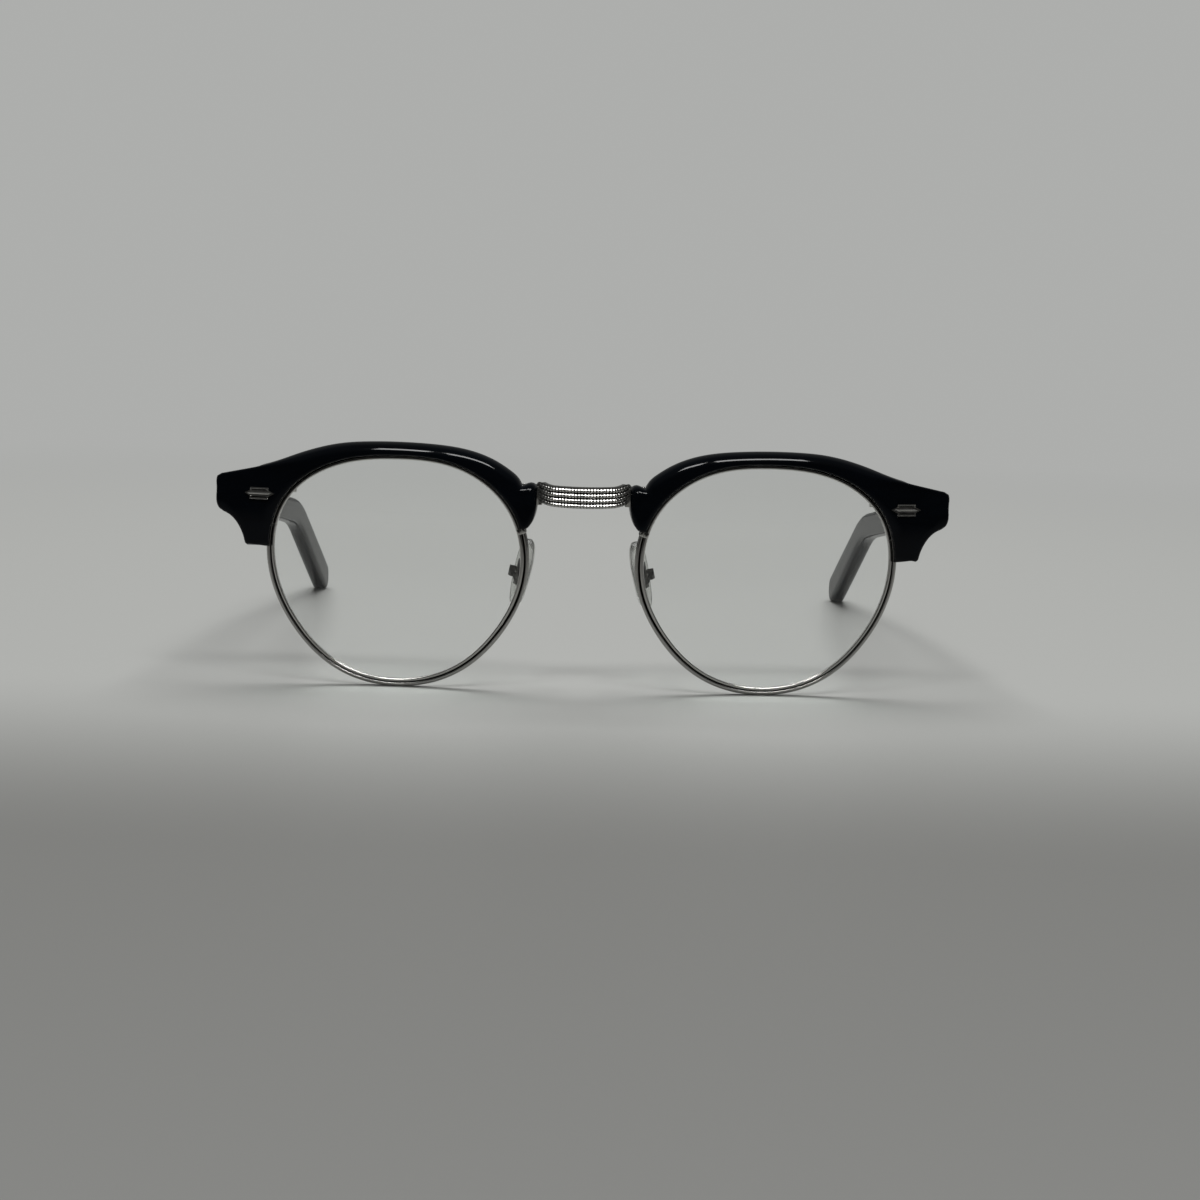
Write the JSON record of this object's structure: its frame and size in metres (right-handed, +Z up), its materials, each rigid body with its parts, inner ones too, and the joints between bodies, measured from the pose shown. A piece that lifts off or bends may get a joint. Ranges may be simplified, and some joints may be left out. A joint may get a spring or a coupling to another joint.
{
  "type": "round eyeglasses",
  "caption": "Browline eyeglasses with rounded lenses: dark acetate brows over grooved metal eyewires, a ribbed bridge, rocking nose pads and folding temples.",
  "frame": {"origin": "bottom centre of the overall box: the ground under the lower rims and temple tips, midway between the bridge's front and the tips and midway between the sides", "axes": "+X to the wearer's left, +Y from the front back along the temples, +Z up"},
  "size_m": [0.1416, 0.1646, 0.0473],
  "materials": {
    "acetate": "polished near-black cellulose acetate",
    "silver": "polished antique silver plating, darker in the grooves",
    "steel": "plain nickel silver and steel screws, hinges and wire cores",
    "lens": "clear, with a faint green reflection",
    "clear_pad": "clear silicone"
  },
  "bodies": {
    "front": {"bridge": "silver", "left_brow": "acetate", "left_eyewire": "silver", "left_lens": "lens", "left_bridge_lug": "silver", "left_nasal_screw": "steel", "left_temporal_screw": "steel", "left_rim_lock_upper": "silver", "left_rim_lock_lower": "silver", "left_rim_lock_screw": "steel", "left_front_plaque": "silver", "left_front_hinge": "steel", "left_hinge_screw": "steel", "left_pad_arm": "silver", "left_pad_box": "silver", "left_pad_screw": "steel", "right_brow": "acetate", "right_eyewire": "silver", "right_lens": "lens", "right_bridge_lug": "silver", "right_nasal_screw": "steel", "right_temporal_screw": "steel", "right_rim_lock_upper": "silver", "right_rim_lock_lower": "silver", "right_rim_lock_screw": "steel", "right_front_plaque": "silver", "right_front_hinge": "steel", "right_hinge_screw": "steel", "right_pad_arm": "silver", "right_pad_box": "silver", "right_pad_screw": "steel"},
    "left_temple": {"left_temple": "acetate", "left_temple_core": "steel", "left_temple_hinge": "steel", "left_temple_plaque": "silver"},
    "right_temple": {"right_temple": "acetate", "right_temple_core": "steel", "right_temple_hinge": "steel", "right_temple_plaque": "silver"},
    "left_pad": {"left_nose_pad": "clear_pad", "left_pad_insert": "silver"},
    "right_pad": {"right_nose_pad": "clear_pad", "right_pad_insert": "silver"}
  },
  "joints": [
    {"name": "left_temple_fold", "type": "hinge", "parent": "front", "child": "left_temple", "pos_m": [0.06498, -0.06502, 0.03607], "axis": [0, 0.1247, 0.9922], "range_deg": [0, 90]},
    {"name": "right_temple_fold", "type": "hinge", "parent": "front", "child": "right_temple", "pos_m": [-0.06498, -0.06502, 0.03607], "axis": [0, -0.1247, -0.9922], "range_deg": [0, 76]},
    {"name": "left_pad_rock", "type": "hinge", "parent": "front", "child": "left_pad", "pos_m": [0.01333, -0.06985, 0.0226], "axis": [0.2924, 0.955, 0.05], "range_deg": [-10, 10]},
    {"name": "right_pad_rock", "type": "hinge", "parent": "front", "child": "right_pad", "pos_m": [-0.01333, -0.06985, 0.0226], "axis": [0.2924, -0.955, -0.05], "range_deg": [-10, 10]}
  ]
}
